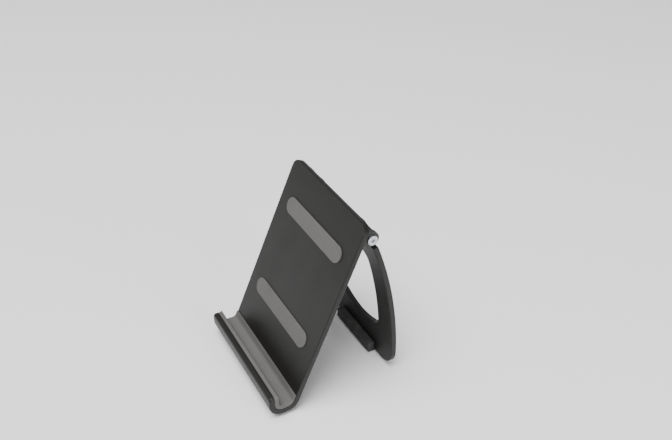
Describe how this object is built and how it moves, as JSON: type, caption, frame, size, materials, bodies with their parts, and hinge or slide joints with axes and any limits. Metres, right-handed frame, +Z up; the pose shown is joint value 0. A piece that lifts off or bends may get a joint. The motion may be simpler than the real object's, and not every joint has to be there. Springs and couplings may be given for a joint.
{
  "type": "tablet stand",
  "caption": "Folding desk stand that leans a tablet in a lined trough, propped by a bowed, windowed leg on friction hinges.",
  "frame": {"origin": "on the table, under the middle of the stand's width and depth", "axes": "+X to the user's right, +Y from the lip at the front to the leg at the back, +Z up"},
  "size_m": [0.1, 0.0988, 0.1326],
  "materials": {
    "black_plastic": "satin black moulded plastic with a very fine grain",
    "bracket_plastic": "matt black glass-filled nylon",
    "soft_grey": "matt mid-grey soft foam rubber",
    "black_rubber": "matt black rubber",
    "steel": "zinc-plated steel",
    "nylon": "natural off-white nylon"
  },
  "bodies": {
    "cradle": {"cradle": "black_plastic", "trough_liner": "soft_grey", "back_pad_lower": "soft_grey", "back_pad_upper": "soft_grey", "front_foot_left": "black_rubber", "front_foot_right": "black_rubber", "hinge_bracket_left": "bracket_plastic", "hinge_bracket_right": "bracket_plastic", "bracket_screws_left": "steel", "bracket_screws_right": "steel", "hinge_pin_left": "steel", "hinge_pin_right": "steel", "friction_washers_left": "nylon", "friction_washers_right": "nylon", "spring_washer_left": "steel", "spring_washer_right": "steel", "lock_nut_left": "steel", "lock_nut_right": "steel"},
    "leg": {"leg": "black_plastic", "leg_bush_left": "nylon", "leg_bush_right": "nylon", "leg_foot": "black_rubber"}
  },
  "joints": [
    {"name": "leg_fold", "type": "hinge", "parent": "cradle", "child": "leg", "pos_m": [0, 0.02735, 0.11886], "axis": [-1, 0, 0], "range_deg": [0, 32.5]}
  ]
}
